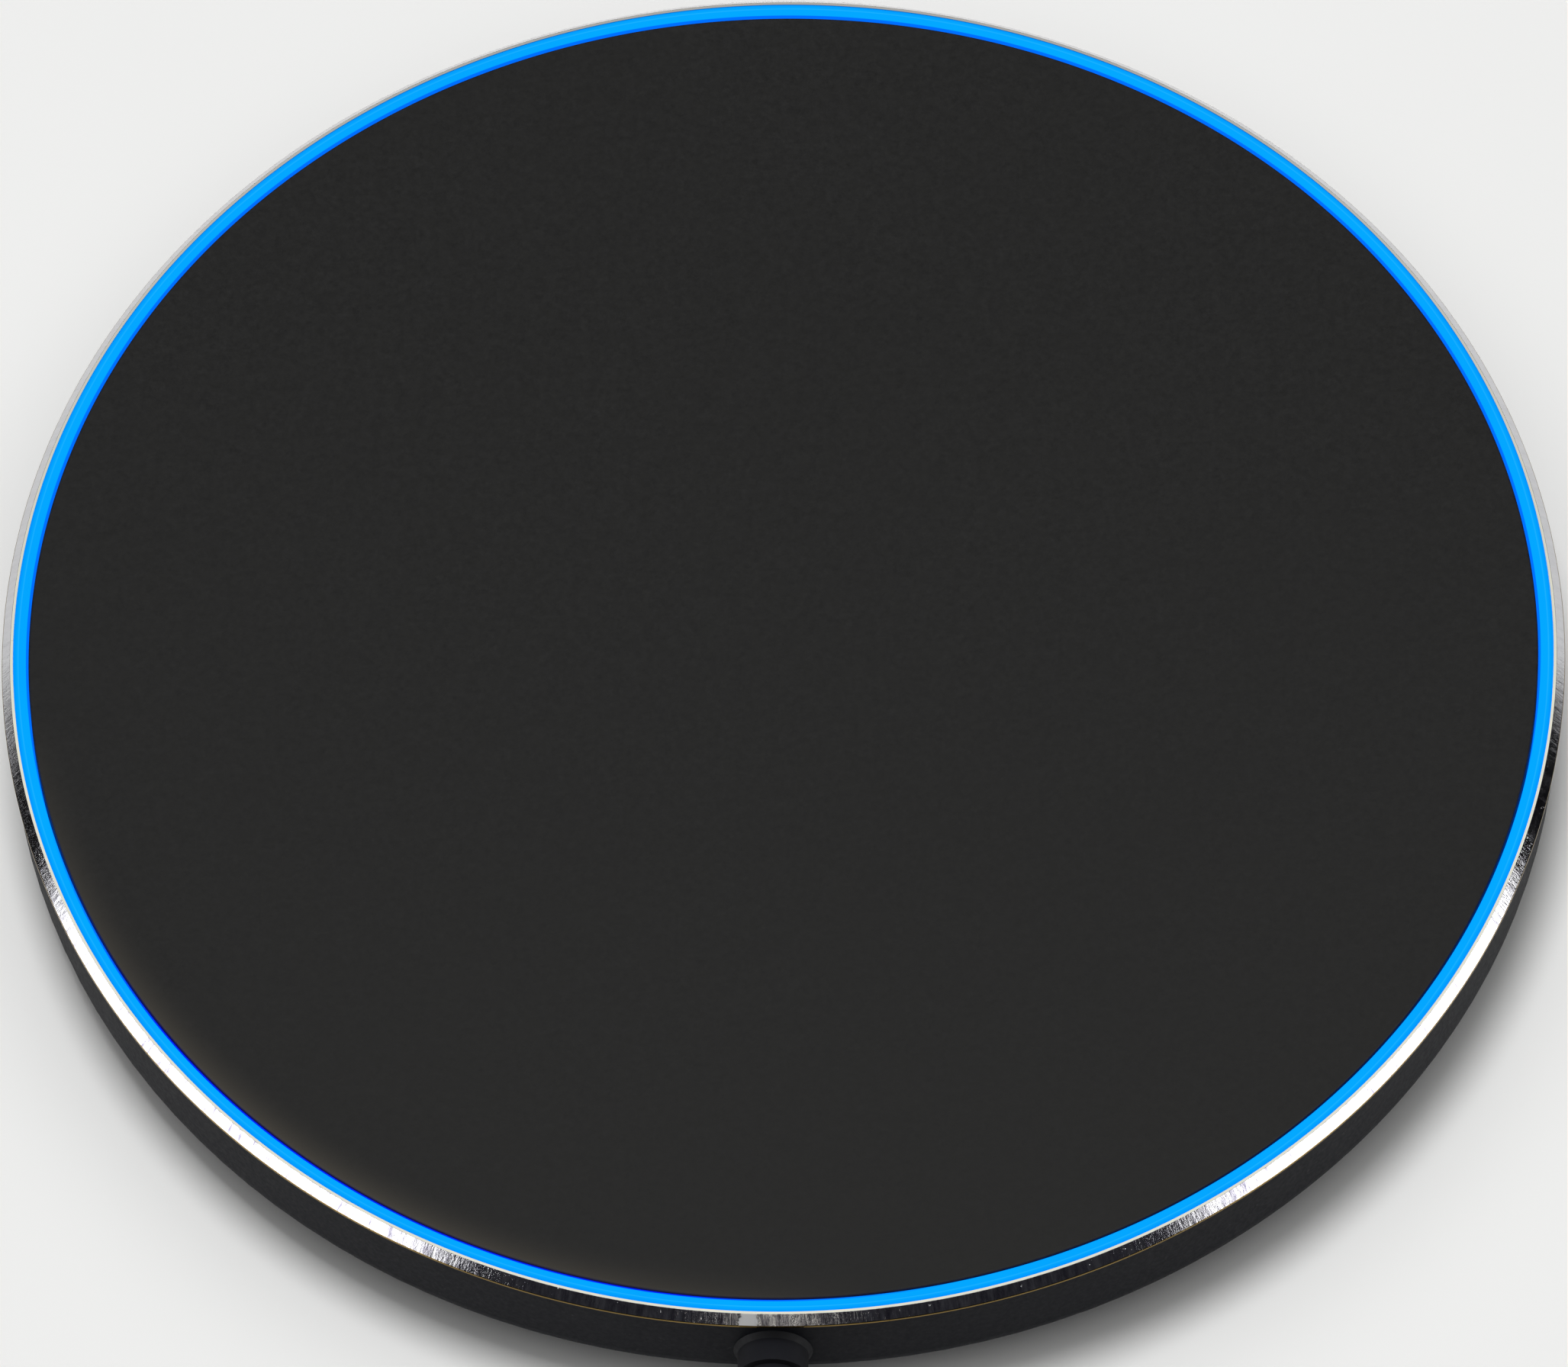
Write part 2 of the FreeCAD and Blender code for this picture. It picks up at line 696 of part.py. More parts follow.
def plug_relief():
    """The ribbed taper that flexes between the lead and the grip."""
    corners = [(0, 0), (LEAD_R + 0.2, 0, 0.15)]
    for i in range(3):
        start = 1.4 + i * 1.8
        outer = LEAD_R + 0.2 + 0.7 * start / PLUG_RELIEF
        corners += [(outer, start), (outer - 0.4, start), (outer - 0.4, start + 0.7), (outer, start + 0.7)]
    corners += [(LEAD_R + 0.9, PLUG_RELIEF), (0, PLUG_RELIEF)]
    return turned(corners)


def plug_grip():
    """The moulded grip, slimmer towards the lead, with five finger grooves."""
    start = PLUG_RELIEF
    end = start + PLUG_GRIP
    corners = [(0, start), (2.5, start, 0.5), (3.0, start + 3.5)]
    for i in range(5):
        groove = start + 5.0 + i * 1.3
        corners += [(3.0, groove), (2.8, groove + 0.15), (2.8, groove + 0.55), (3.0, groove + 0.7)]
    corners += [(3.0, end, 0.4), (0, end)]
    return turned(corners)


def plug_pin_parts():
    """Collar, sleeve, ring and tip of the contact pin, with its two insulating bands."""
    z = PLUG_RELIEF + PLUG_GRIP
    parts = {"plug_collar": rod(0, 0, z, z + PLUG_COLLAR, 2.4)}
    z += PLUG_COLLAR
    bands = []
    for name, length in PIN_STEPS.items():
        piece = rod(0, 0, z, z + length, PIN_R)
        if "band" in name:
            bands.append(piece)
        else:
            parts[name] = piece
        z += length
    parts["plug_bands"] = Part.makeCompound(bands)
    parts["plug_tip"] = turned(
        [
            (0, z),
            (PIN_R, z),
            (PIN_R, z + 0.5),
            (1.25, z + 1.0, 0.2),
            (1.6, z + 1.6, 0.3),
            (0.5, z + TIP_LENGTH, 0.3),
            (0, z + TIP_LENGTH),
        ]
    )
    return parts


def plug():
    """Every piece of the 3.5 mm plug, lying on the floor."""
    parts = {"plug_relief": plug_relief(), "plug_grip": plug_grip(), **plug_pin_parts()}
    return {name: laid(shape, PLUG_START, PLUG_DIRECTION) for name, shape in parts.items()}


# ---------------------------------------------------------------- export

SINGLE_NODES = (
    lower_housing,
    foot_ring,
    trim_band,
    light_guide,
    button_disc,
    disc_adhesive,
    button_carrier,
    retaining_screws,
    return_springs,
    switch_base,
    switch_dome,
    switch_cover,
    switch_plunger,
    circuit_board,
    board_screws,
    ring_lamps,
    radio_board,
    radio_shield,
    radio_chip,
    chip_antenna,
    audio_codec,
    power_chip,
    crystal,
    power_inductor,
    output_capacitors,
    ceramic_capacitors,
    small_resistors,
    socket_shell,
    socket_insulator,
    socket_contacts,
    battery_foam,
    battery_cell,
    battery_plug,
    battery_wires,
    lead_boot,
    lead_inner_end,
    lead_wires,
    lead_run,
    lead_coil,
    coil_tie,
    lead_tail,
)


def model():
    """Every node of the receiver by name."""
    nodes = {make.__name__: make() for make in SINGLE_NODES}
    nodes.update(plug())
    return nodes


os.makedirs("parts", exist_ok=True)
for node, shape in model().items():
    shape.exportStep(f"parts/{node}.step")
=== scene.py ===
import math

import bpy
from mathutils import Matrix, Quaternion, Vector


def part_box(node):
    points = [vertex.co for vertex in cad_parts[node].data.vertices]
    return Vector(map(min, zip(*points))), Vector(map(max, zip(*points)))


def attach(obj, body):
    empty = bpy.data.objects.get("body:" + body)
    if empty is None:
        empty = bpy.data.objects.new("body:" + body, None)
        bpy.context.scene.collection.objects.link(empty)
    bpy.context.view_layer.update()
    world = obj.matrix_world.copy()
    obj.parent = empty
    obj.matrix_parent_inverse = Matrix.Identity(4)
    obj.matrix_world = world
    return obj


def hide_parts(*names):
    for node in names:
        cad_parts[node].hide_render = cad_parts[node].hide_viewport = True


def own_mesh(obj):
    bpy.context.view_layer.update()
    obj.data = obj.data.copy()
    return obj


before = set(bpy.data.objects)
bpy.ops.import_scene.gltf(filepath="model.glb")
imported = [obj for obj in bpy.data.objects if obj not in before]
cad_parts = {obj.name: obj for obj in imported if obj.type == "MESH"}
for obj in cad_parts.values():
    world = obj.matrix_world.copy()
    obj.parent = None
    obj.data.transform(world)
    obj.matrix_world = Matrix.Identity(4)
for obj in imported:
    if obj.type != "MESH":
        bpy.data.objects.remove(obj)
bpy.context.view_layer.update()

# Looks of the round Bluetooth audio receiver: its camera, the free lead, the turned rings and disc, the
# springs and dome, every material, the floor and the light. The frame is in metres. Lengths and points
# written in millimetres are multiplied by MM.

MM = 0.001
TOP_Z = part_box("light_guide")[1].z

# Radii of the top's edges, in millimetres
RING_INNER_R = 38.72
RING_OUTER_R = 39.40
LIP_R = 39.56  # the trim's flat lip ends and its bevel starts
BAND_R = 40


# ---------------------------------------------------------------- camera


def aim(thing, target, roll=0.0):
    """Turns an object whose -Z looks out of it towards a point, rolled clockwise by an angle in degrees."""
    direction = Vector(target) - thing.location
    thing.rotation_mode = "QUATERNION"
    turn = Quaternion((0, 0, 1), math.radians(-roll))
    thing.rotation_quaternion = direction.to_track_quat("-Z", "Y") @ turn


def add_camera():
    """A long lens above the puck and in front of it, a little to its right, which frames the top face."""
    azimuth = math.radians(2.05)
    elevation = math.radians(58.1)
    roll = 1.5
    distance = 0.93
    seen_width = 80.1 * MM  # what the frame's width covers at the top face
    forward = 2.41 * MM  # from the puck's axis to the middle of the view
    data = bpy.data.cameras.new("camera")
    data.sensor_width = 36.0
    data.lens = data.sensor_width * distance / seen_width
    data.clip_start = 0.05
    camera = bpy.data.objects.new("camera", data)
    bpy.context.collection.objects.link(camera)
    front = Vector((math.sin(azimuth), -math.cos(azimuth), 0))
    outward = front * math.cos(elevation) + Vector((0, 0, math.sin(elevation)))
    centre = front * forward + Vector((0, 0, TOP_Z))
    camera.location = centre + distance * outward
    aim(camera, centre, roll)
    bpy.context.scene.camera = camera


add_camera()


# ---------------------------------------------------------------- the lead

LEAD_DIAMETER = 2.6 * MM
COIL_Y = -80.0 * MM
COIL_SIDE_X = 0.9 * MM
COIL_OUTER_R = 19.7 * MM
COIL_LAYER_TURNS = 5
COIL_INNER_R = COIL_OUTER_R - (COIL_LAYER_TURNS - 1) * LEAD_DIAMETER
COIL_LOW_Z = 1.6 * MM
POINTS_PER_TURN = 16
STEP_SHARE = 75 / 360  # share of a turn in which the lead moves over to the next radius
CLIMB_SHARE = 125 / 360  # share of a turn before the lower layer's end at which the lead starts to climb

# From the boot to the coil, and from the coil to the plug, in millimetres
RUN_POINTS = [(0, -49.5, 4.6), (0, -55.0, 4.6), (0.9, -64.28, 1.6), (0.9, -69.78, 1.6)]
TAIL_POINTS = [
    (0.9, -90.22, 4.2),
    (0.9, -98.62, 4.2),
    (-3.5, -106.0, 3.6),
    (-11.5, -110.0, 3.0),
    (-20.6, -110.0, 3.0),
]


def eased(share):
    """A smooth step from 0 to 1."""
    share = min(max(share, 0.0), 1.0)
    return share * share * (3 - 2 * share)


def coil_place(turns):
    """The lead's distance from the coil's centre and its height, a number of turns after it goes in.

    Five turns lie on the floor, each inside the one before. The innermost climbs, and four more go back
    outwards on top of the first ones. Each turn changes its radius just beside the place where the lead
    runs in and out.
    """
    climb_start = COIL_LAYER_TURNS - CLIMB_SHARE
    climb_end = COIL_LAYER_TURNS - STEP_SHARE
    whole = math.floor(turns)
    part = turns - whole
    if whole < COIL_LAYER_TURNS:
        steps = whole + eased((part - (1 - STEP_SHARE)) / STEP_SHARE)
        radius = COIL_OUTER_R - min(steps, COIL_LAYER_TURNS - 1) * LEAD_DIAMETER
    else:
        steps = whole - COIL_LAYER_TURNS + eased(part / STEP_SHARE)
        radius = COIL_INNER_R + min(steps, COIL_LAYER_TURNS - 1) * LEAD_DIAMETER
    climb = eased((turns - climb_start) / (climb_end - climb_start))
    return radius, COIL_LOW_Z + climb * LEAD_DIAMETER


def coil_points():
    """Control points of the nine turns, a little outside the line that the spline then follows."""
    outset = 4 / (3 + math.cos(2 * math.pi / POINTS_PER_TURN))  # for a spline of order 3
    count = POINTS_PER_TURN * (2 * COIL_LAYER_TURNS - 1)
    centre_x = COIL_SIDE_X + COIL_OUTER_R
    points = []
    for i in range(count + 1):
        radius, z = coil_place(i / POINTS_PER_TURN)
        angle = math.pi + 2 * math.pi * i / POINTS_PER_TURN
        reach = radius * (outset if 0 < i < count else 1)
        points.append((centre_x + reach * math.cos(angle), COIL_Y + reach * math.sin(angle), z))
    return points


def add_lead():
    """The whole free lead on one spline, from the boot through the coil to the plug."""
    curve = bpy.data.curves.new("audio_lead", "CURVE")
    curve.dimensions = "3D"
    curve.bevel_depth = 1.0  # times each point's own radius, which Blender also counts in the curve's box
    curve.bevel_resolution = 6
    curve.resolution_u = 8
    run = [Vector(point) * MM for point in RUN_POINTS]
    tail = [Vector(point) * MM for point in TAIL_POINTS]
    route = run + [Vector(point) for point in coil_points()] + tail
    spline = curve.splines.new("NURBS")
    spline.points.add(len(route) - 1)
    for point, place in zip(spline.points, route):
        point.co = (*place, 1)
        point.radius = LEAD_DIAMETER / 2
    spline.order_u = 3
    spline.use_endpoint_u = True
    lead = bpy.data.objects.new("audio_lead", curve)
    bpy.context.collection.objects.link(lead)
    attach(lead, "receiver")
    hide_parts("lead_run", "lead_coil", "lead_tail")
    return lead


lead = add_lead()


# ---------------------------------------------------------------- turned rings and disc


def add_mesh(name, vertices, faces, body="receiver"):
    """A mesh object of one body, smooth except at its sharp edges."""
    mesh = bpy.data.meshes.new(name)
    mesh.from_pydata(vertices, [], faces)
    mesh.polygons.foreach_set("use_smooth", [True] * len(mesh.polygons))
    mesh.set_sharp_from_angle(angle=math.radians(35))
    piece = bpy.data.objects.new(name, mesh)
    bpy.context.collection.objects.link(piece)
    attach(piece, body)
    return piece


def softened(corners):
    """An outline in metres from corners in millimetres: radius, height and, for some, a rounding.

    A point just past each end of a rounding keeps the flat faces beside it flat in the light.
    """
    hold = 0.01
    arc_steps = 4
    points = []
    for i, corner in enumerate(corners):
        here = Vector(corner[:2])
        rounding = corner[2] if len(corner) == 3 else 0
        if not rounding:
            points.append(here)
            continue
        to_last = (Vector(corners[i - 1][:2]) - here).normalized()
        to_next = (Vector(corners[(i + 1) % len(corners)][:2]) - here).normalized()
        half = to_last.angle(to_next) / 2
        reach = rounding / math.tan(half)
        centre = here + (to_last + to_next).normalized() * rounding / math.sin(half)
        start = here + to_last * reach - centre
        end = here + to_next * reach - centre
        points.append(here + to_last * (reach + hold))
        for step in range(arc_steps + 1):
            points.append(centre + start.slerp(end, step / arc_steps).normalized() * rounding)
        points.append(here + to_next * (reach + hold))
    return [point * MM for point in points]


def add_turned(name, corners, node, body="receiver"):
    """A finely divided solid of revolution about the puck's axis, in place of a CAD node."""
    around = 480
    outline = softened(corners)
    vertices, faces = [], []
    for step in range(around):
        angle = 2 * math.pi * step / around
        vertices += [(r * math.cos(angle), r * math.sin(angle), z) for r, z in outline]
    count = len(outline)
    for step in range(around):
        here = step * count
        after = (step + 1) % around * count
        for i in range(count):
            j = (i + 1) % count
            faces.append((here + i, after + i, after + j, here + j))
    piece = add_mesh(name, vertices, faces, body)
    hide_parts(node)
    return piece


def cut_box(piece, low, high):
    """Cuts a box between two corners, in millimetres, out of a piece."""
    x0, y0, z0 = Vector(low) * MM
    x1, y1, z1 = Vector(high) * MM
    corners = [(x, y, z) for x in (x0, x1) for y in (y0, y1) for z in (z0, z1)]
    faces = [(0, 1, 3, 2), (4, 6, 7, 5), (0, 4, 5, 1), (2, 3, 7, 6), (0, 2, 6, 4), (1, 5, 7, 3)]
    mesh = bpy.data.meshes.new("cutter")
    mesh.from_pydata(corners, [], faces)
    cutter = bpy.data.objects.new("cutter", mesh)
    bpy.context.collection.objects.link(cutter)
    modifier = piece.modifiers.new("cut", "BOOLEAN")
    modifier.operation = "DIFFERENCE"
    modifier.object = cutter
    modifier.solver = "EXACT"
    evaluated = piece.evaluated_get(bpy.context.evaluated_depsgraph_get())
    whole = piece.data
    piece.data = bpy.data.meshes.new_from_object(evaluated)
    piece.data.name = whole.name
    piece.modifiers.clear()
    bpy.data.meshes.remove(whole)
    bpy.data.objects.remove(cutter)
    bpy.data.meshes.remove(mesh)


# Corners round the puck's axis, in millimetres: radius, height and, for some, a rounding
BAND_CORNERS = [
    (39.10, 6.92),
    (39.42, 6.92),
    (39.42, 7.38),
    (BAND_R, 7.38),
    (BAND_R, 7.48, 0.04),
    (LIP_R, 8, 0.03),
    (39.42, 8),
    (39.42, 7.60),
    (39.10, 7.60),
]
GUIDE_CORNERS = [
    (35.2, 5.77),
    (39.08, 5.77),
    (39.08, 7.62),
    (RING_OUTER_R, 7.62),
    (RING_OUTER_R, 8, 0.05),
    (RING_INNER_R, 8, 0.05),
    (RING_INNER_R, 6.30),
    (35.2, 6.30),
]
DISC_CORNERS = [(0.02, 6.8), (38.62, 6.8, 0.1), (38.62, 7.96, 0.12), (0.02, 7.96)]


def add_rings_and_disc():
    """The trim ring, the light ring and the top disc, whose round edges are what the eye follows."""
    trim = add_turned("trim_ring", BAND_CORNERS, "trim_band")
    light = add_turned("light_ring", GUIDE_CORNERS, "light_guide")
    cut_box(light, (-3.9, -40, 5), (3.9, -30, 6.55))  # room for the lead's root
    cut_box(light, (-5.9, 30, 5), (5.9, 40, 6.45))  # room for the power socket
    face = add_turned("top_disc", DISC_CORNERS, "button_disc", "button")
    return trim, light, face


trim, light, face = add_rings_and_disc()


# ---------------------------------------------------------------- springs and dome

POST_PLACE_R = 24.0 * MM
POST_ANGLES = (60, 180, 300)
SPRING_WIRE_R = 0.16 * MM
SPRING_R = 1.95 * MM
SPRING_FLAT = 0.19  # share of the wire in each closed end
SPRING_TURNS = 4
SPRING_SIDES = 12
STEPS_PER_TURN = 40


def spring_rise(share):
    """How far up the spring its wire is, from 0 to 1, at a share of its length."""
    part = (share - SPRING_FLAT) / (1 - 2 * SPRING_FLAT)
    return eased(part) * 0.5 + min(max(part, 0), 1) * 0.5


def spring_vertices(centre, bottom, top):
    """One spring's wire round an upright line through a point, ring after ring of vertices."""
    count = SPRING_TURNS * STEPS_PER_TURN
    vertices = []
    for i in range(count + 1):
        angle = 2 * math.pi * i / STEPS_PER_TURN
        outward = Vector((math.cos(angle), math.sin(angle), 0))
        height = bottom + (top - bottom) * spring_rise(i / count)
        middle = centre + outward * SPRING_R + Vector((0, 0, height))
        for side in range(SPRING_SIDES):
            turn = 2 * math.pi * side / SPRING_SIDES
            up = Vector((0, 0, SPRING_WIRE_R * math.sin(turn)))
            vertices.append(middle + outward * SPRING_WIRE_R * math.cos(turn) + up)
    return vertices


def spring_faces(first):
    """Faces of one spring's wire, closed at both ends, whose vertices start at a number."""
    count = SPRING_TURNS * STEPS_PER_TURN
    faces = []
    for i in range(count):
        for side in range(SPRING_SIDES):
            a = first + i * SPRING_SIDES + side
            b = first + i * SPRING_SIDES + (side + 1) % SPRING_SIDES
            faces.append((a, b, b + SPRING_SIDES, a + SPRING_SIDES))
    faces.append(tuple(first + side for side in reversed(range(SPRING_SIDES))))
    faces.append(tuple(first + count * SPRING_SIDES + side for side in range(SPRING_SIDES)))
    return faces


def add_springs():
    """Three round-wire compression springs, whose end turns lie flat, round the button's guide posts."""
    low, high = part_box("return_springs")
    vertices, faces = [], []
    for post_angle in POST_ANGLES:
        centre = Vector((POST_PLACE_R, 0, 0))
        centre.rotate(Quaternion((0, 0, 1), math.radians(post_angle)))
        faces += spring_faces(len(vertices))
        vertices += spring_vertices(centre, low.z + SPRING_WIRE_R, high.z - SPRING_WIRE_R)
    springs = add_mesh("spring_coils", vertices, faces)
    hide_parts("return_springs")
    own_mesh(springs)
    return springs


def add_dome():
    """The switch's snap dome: a thin dished disc."""
    low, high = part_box("switch_dome")
    reach = high.x
    skin = 0.08 * MM
    least_r = 0.001 * MM  # keeps the innermost vertices apart
    around = 48
    across = 10
    rise = high.z - low.z - skin
    profile = []
    for i in range(across + 1):
        height = rise * math.cos(math.pi / 2 * i / across)
        profile.append((reach * i / across, low.z + skin + height))
    profile += [(r, z - skin) for r, z in reversed(profile)]
    vertices, faces = [], []
    for r, z in profile:
        for step in range(around):
            angle = 2 * math.pi * step / around
            place_r = max(r, least_r)
            vertices.append((place_r * math.cos(angle), place_r * math.sin(angle), z))
    for row in range(len(profile) - 1):
        for step in range(around):
            a = row * around + step
            b = row * around + (step + 1) % around
            faces.append((a, a + around, b + around, b))
    faces.append(tuple(range(around)))
    last = (len(profile) - 1) * around
    faces.append(tuple(last + step for step in reversed(range(around))))
    dome = add_mesh("snap_dome", vertices, faces)
    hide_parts("switch_dome")
    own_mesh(dome)
    return dome


springs = add_springs()
dome = add_dome()


# ---------------------------------------------------------------- materials


class Look:
    """A material with a Principled shader and short calls for the nodes that feed it."""

    def __init__(self, name, **fixed):
        self.material = bpy.data.materials.new(name)
        self.material.use_nodes = True
        self.nodes = self.material.node_tree.nodes
        self.links = self.material.node_tree.links
        self.shader = self.nodes["Principled BSDF"]
        self.place = self.nodes.new("ShaderNodeTexCoord").outputs["Object"]
        for socket, value in fixed.items():
            self.shader.inputs[socket.replace("_", " ")].default_value = value

    def feed(self, socket, value):
        """Links an output to a socket, or sets the socket to a number, vector or colour."""
        if isinstance(value, bpy.types.NodeSocket):
            self.links.new(value, socket)
        else:
            socket.default_value = value

    def set(self, name, value):
        """Feeds one of the shader's own sockets."""
        self.feed(self.shader.inputs[name], value)

    def noise(self, size, detail=3.0, roughness=0.55, vector=None, stretch=None):
        """Noise from 0 to 1 whose features are about that size, in metres."""
        if stretch:
            vector = self.stretched(vector or self.place, stretch)
        node = self.nodes.new("ShaderNodeTexNoise")
        self.feed(node.inputs["Vector"], vector or self.place)
        node.inputs["Scale"].default_value = 1 / size
        node.inputs["Detail"].default_value = detail
        node.inputs["Roughness"].default_value = roughness
        return node.outputs["Fac"]

    def cells(self, size):
        """Distance in a pattern of cells of about that size, in metres."""
        node = self.nodes.new("ShaderNodeTexVoronoi")
        self.feed(node.inputs["Vector"], self.place)
        node.inputs["Scale"].default_value = 1 / size
        return node.outputs["Distance"]

    def stretched(self, vector, scale):
        """A vector multiplied along each axis."""
        node = self.nodes.new("ShaderNodeVectorMath")
        node.operation = "MULTIPLY"
        self.feed(node.inputs[0], vector)
        node.inputs[1].default_value = scale
        return node.outputs["Vector"]

    def math(self, operation, first, second=0.0):
        """One arithmetic step."""
        node = self.nodes.new("ShaderNodeMath")
        node.operation = operation
        for socket, value in zip(node.inputs, (first, second)):
            self.feed(socket, value)
        return node.outputs["Value"]

    def ramp(self, share, stops):
        """Colours along a share, from (position, grey or colour) stops."""
        node = self.nodes.new("ShaderNodeValToRGB")
        node.color_ramp.interpolation = "EASE"
        elements = node.color_ramp.elements
        while len(elements) < len(stops):
            elements.new(0.5)
        for element, (position, colour) in zip(elements, stops):
            element.position = position
            element.color = (colour,) * 3 + (1,) if isinstance(colour, (int, float)) else (*colour, 1)
        self.feed(node.inputs["Fac"], share)
        return node.outputs["Color"]

    def span(self, share, low, high, from_low=0.0, from_high=1.0):
        """A share mapped to a range of numbers."""
        node = self.nodes.new("ShaderNodeMapRange")
        self.feed(node.inputs["Value"], share)
        node.inputs["From Min"].default_value = from_low
        node.inputs["From Max"].default_value = from_high
        node.inputs["To Min"].default_value = low
        node.inputs["To Max"].default_value = high
        return node.outputs["Result"]

    def mix(self, share, first, second):
        """Two colours mixed by a share."""
        node = self.nodes.new("ShaderNodeMix")
        node.data_type = "RGBA"
        self.feed(node.inputs[0], share)
        for socket, value in ((node.inputs[6], first), (node.inputs[7], second)):
            self.feed(socket, (*value, 1) if isinstance(value, tuple) else value)
        return node.outputs[2]

    def along(self, axis):
        """The coordinate along one axis, in metres."""
        node = self.nodes.new("ShaderNodeSeparateXYZ")
        self.feed(node.inputs[0], self.place)
        return node.outputs[axis]

    def radius_and_angle(self):
        """Distance from the puck's axis in metres, and the angle round it in radians."""
        x = self.along("X")
        y = self.along("Y")
        squares = self.math("ADD", self.math("MULTIPLY", x, x), self.math("MULTIPLY", y, y))
        return self.math("SQRT", squares), self.math("ARCTAN2", y, x)

    def bump(self, height, distance, strength=1.0):
        """Feeds the shader's normal from a height, whose full range is that distance in metres."""
        node = self.nodes.new("ShaderNodeBump")
        node.inputs["Distance"].default_value = distance
        node.inputs["Strength"].default_value = strength
        self.feed(node.inputs["Height"], height)
        self.set("Normal", node.outputs["Normal"])


def shade(colour, factor):
    """A colour made lighter or darker."""
    return tuple(min(channel * factor, 1.0) for channel in colour)


def moulded(name, colour, roughness, grain=0.25 * MM, depth=0.006 * MM, variation=0.12, **fixed):
    """Moulded plastic or rubber: a fine grain, slightly uneven gloss and tone, and a few specks of dust."""
    look = Look(name, **fixed)
    broad = look.noise(9 * MM, detail=2)
    fine = look.noise(grain, detail=4, roughness=0.6)
    tone = look.mix(broad, shade(colour, 1 - variation), shade(colour, 1 + variation))
    specks = look.span(look.noise(0.35 * MM, detail=1), 0, 0.35, 0.74, 0.82)
    look.set("Base Color", look.mix(specks, tone, tuple(channel * 0.6 + 0.05 for channel in colour)))
    look.set("Roughness", look.span(fine, roughness - 0.09, roughness + 0.09, 0.25, 0.75))
    look.bump(fine, depth)
    return look.material


def metal(name, colour, roughness, brushed=(1, 1, 1)):
    """Bare or plated metal: fine scratches, drawn out along one way if brushed, and a patchy shine."""
    look = Look(name, Metallic=1.0)
    scratches = look.noise(0.12 * MM, detail=5, roughness=0.7, stretch=brushed)
    patches = look.noise(2.5 * MM, detail=3)
    look.set("Base Color", look.mix(patches, shade(colour, 0.88), shade(colour, 1.05)))
    look.set("Roughness", look.span(scratches, roughness * 0.7, roughness * 1.4, 0.3, 0.7))
    look.bump(scratches, 0.003 * MM, strength=0.6)
    return look.material


def disc_face():
    """Soft-touch top face, near black, finely mottled; painted light makes its front and front left edge
    paler.
    """
    look = Look("soft_touch_black", Specular_IOR_Level=0.25)
    radius, angle = look.radius_and_angle()
    mottle = look.noise(0.34 * MM, detail=5, roughness=0.7)
    weave = look.noise(0.9 * MM, detail=3)
    cloud = look.noise(14 * MM, detail=2)
    dark = (0.0026, 0.0026, 0.0026)
    pale = (0.0176, 0.0176, 0.0173)
    base = look.mix(look.span(mottle, 0, 1, 0.3, 0.7), dark, pale)
    base = look.mix(look.span(weave, 0, 0.4, 0.35, 0.7), base, (0.0100, 0.0098, 0.0094))
    base = look.mix(look.span(cloud, 0, 0.4), base, (0.0088, 0.0084, 0.0080))
    # Painted light: the face is made paler towards the front.
    near = look.span(look.along("Y"), 0.5, 0, -38 * MM, 20 * MM)
    base = look.mix(near, base, (0.0165, 0.0163, 0.0158))
    # Painted reflection: a warm, paler band along the rounded edge, strongest towards the front left.
    painted_reflection_at = math.radians(-128)
    towards = look.math("COSINE", look.math("SUBTRACT", angle, painted_reflection_at))
    side = look.span(towards, 0, 1, 0.70, 1.0)
    edge = look.span(radius, 0, 1, 36.4 * MM, 38.6 * MM)
    glow = look.math("MULTIPLY", look.math("POWER", edge, 2.5), side)
    look.set("Base Color", look.mix(glow, base, (0.046, 0.041, 0.033)))
    look.set("Roughness", look.span(mottle, 0.40, 0.62, 0.25, 0.75))
    look.bump(mottle, 0.010 * MM)
    return look.material


def lit_ring():
    """The glowing light guide: bright blue with a faint paler line, and a deeper blue inner edge."""
    look = Look("lit_blue_ring", Roughness=0.4, Specular_IOR_Level=0.02)
    radius, angle = look.radius_and_angle()
    across = look.span(radius, 0, 1, RING_INNER_R * MM, RING_OUTER_R * MM)
    drift = look.noise(6 * MM, detail=2)
    blue = (0.0, 0.385, 1.0)
    pale = (0.010, 0.43, 1.0)
    deep = (0.0, 0.012, 0.95)
    inner = (0.0, 0.16, 1.0)
    outer = (0.0, 0.31, 1.0)
    lines = [(0.54, blue), (0.62, pale), (0.70, blue), (0.95, outer)]
    thin = look.ramp(across, [(0.0, inner), (0.06, blue)] + lines)
    thick = look.ramp(across, [(0.0, deep), (0.11, deep), (0.17, blue)] + lines)
    deepest_at = math.radians(-120)
    towards = look.math("COSINE", look.math("SUBTRACT", angle, deepest_at))
    tone = look.mix(look.span(towards, 0, 1, 0.72, 0.92), thin, thick)
    look.set("Base Color", (0.0, 0.004, 0.02, 1))
    look.set("Emission Color", tone)
    look.set("Emission Strength", look.span(drift, 0.97, 1.03, 0.3, 0.7))
    look.bump(look.noise(0.2 * MM, detail=2), 0.002 * MM)
    return look.material


def worn_places(look, angle, around):
    """Where the trim is worn: small flecks, scratches, and one larger rub just left of the lead."""
    flecks = look.span(look.noise(0.42 * MM, detail=4, roughness=0.65), 0, 1, 0.66, 0.72)
    scratches = look.span(look.noise(0.11 * MM, detail=2, vector=around), 0, 0.8, 0.70, 0.78)
    rub_at = math.radians(-91.7)
    rub_half = math.radians(0.75)
    beside = look.math("ABSOLUTE", look.math("SUBTRACT", angle, rub_at))
    ragged = look.math("MULTIPLY", look.noise(0.35 * MM, detail=3), 1.6 * rub_half)
    rub = look.span(look.math("SUBTRACT", beside, ragged), 1, 0, -0.1 * rub_half, 0.1 * rub_half)
    return look.math("MAXIMUM", look.math("MAXIMUM", flecks, scratches), rub)


